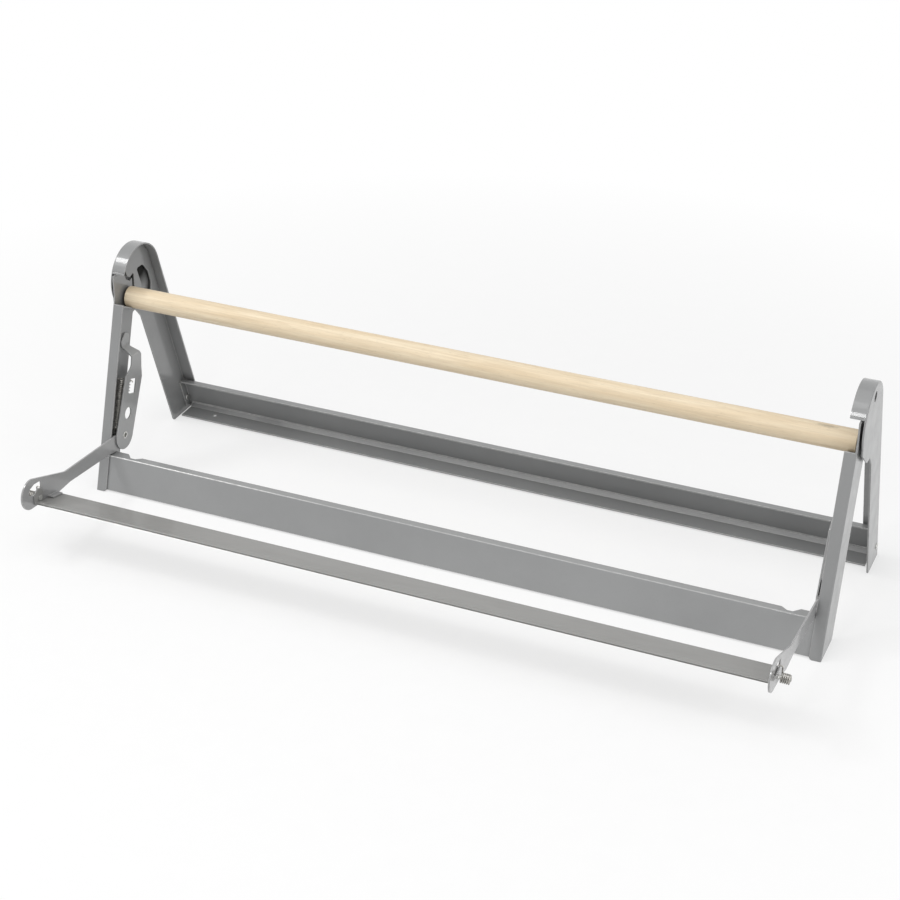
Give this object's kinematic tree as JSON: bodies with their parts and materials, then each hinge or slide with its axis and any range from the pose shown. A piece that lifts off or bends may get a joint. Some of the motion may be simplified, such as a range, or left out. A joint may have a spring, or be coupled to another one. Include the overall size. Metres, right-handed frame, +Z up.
{
  "type": "paper roll cutter",
  "caption": "Bench-top paper roll holder and cutter: folded grey sheet-steel stands and rails, wooden roll bar, sprung swing arms with a full-width tear blade.",
  "frame": {"origin": "middle of the base on the counter, halfway between the tips of the arms and the rear feet", "axes": "+X along the roll bar to the right, +Y to the rear, +Z up"},
  "size_m": [1.0106, 0.4507, 0.309],
  "materials": {
    "stand_enamel": "semi-gloss grey enamel",
    "arm_enamel": "semi-gloss grey enamel",
    "blade_enamel": "satin light grey enamel, slightly warm",
    "strip_steel": "ground spring-steel strip",
    "plated_steel": "zinc-plated",
    "spring_steel": "oiled music wire",
    "maple": "sanded, unfinished"
  },
  "bodies": {
    "frame": {"front_leg_left": "stand_enamel", "front_leg_right": "stand_enamel", "rear_leg_left": "stand_enamel", "rear_leg_right": "stand_enamel", "spring_plate_left": "stand_enamel", "spring_plate_right": "stand_enamel", "front_rail": "stand_enamel", "rear_rail": "stand_enamel", "rail_rivets": "plated_steel", "arm_pivot_pin_left": "plated_steel", "arm_pivot_pin_right": "plated_steel", "arm_spacer_left": "plated_steel", "arm_spacer_right": "plated_steel", "tension_spring_left": "spring_steel", "tension_spring_right": "spring_steel"},
    "cutter_arms": {"cutter_arm_left": "arm_enamel", "cutter_arm_right": "arm_enamel", "blade_return_spring_left": "spring_steel", "blade_return_spring_right": "spring_steel"},
    "cutter_blade": {"blade_bar": "blade_enamel", "cutting_strip": "strip_steel", "blade_pivot_pin_left": "plated_steel", "blade_pivot_pin_right": "plated_steel"},
    "bar": {"roll_bar": "maple"}
  },
  "joints": [
    {"name": "cutter_swing", "type": "hinge", "parent": "frame", "child": "cutter_arms", "pos_m": [0, 0.01185, 0.0635], "axis": [-1, 0, 0], "range_deg": [0, 93], "deforming": ["tension_spring_left", "tension_spring_right"]},
    {"name": "blade_tilt", "type": "hinge", "parent": "cutter_arms", "child": "cutter_blade", "pos_m": [0, -0.19015, 0.0756], "axis": [1, 0, 0], "range_deg": [-25, 0], "stiffness_Nm_per_rad": 0.4, "springref_deg": 28.65, "deforming": ["blade_return_spring_left", "blade_return_spring_right"]},
    {"name": "roll_bar_spin", "type": "hinge", "parent": "frame", "child": "bar", "pos_m": [0, 0.07285, 0.2405], "axis": [1, 0, 0], "continuous": true}
  ]
}
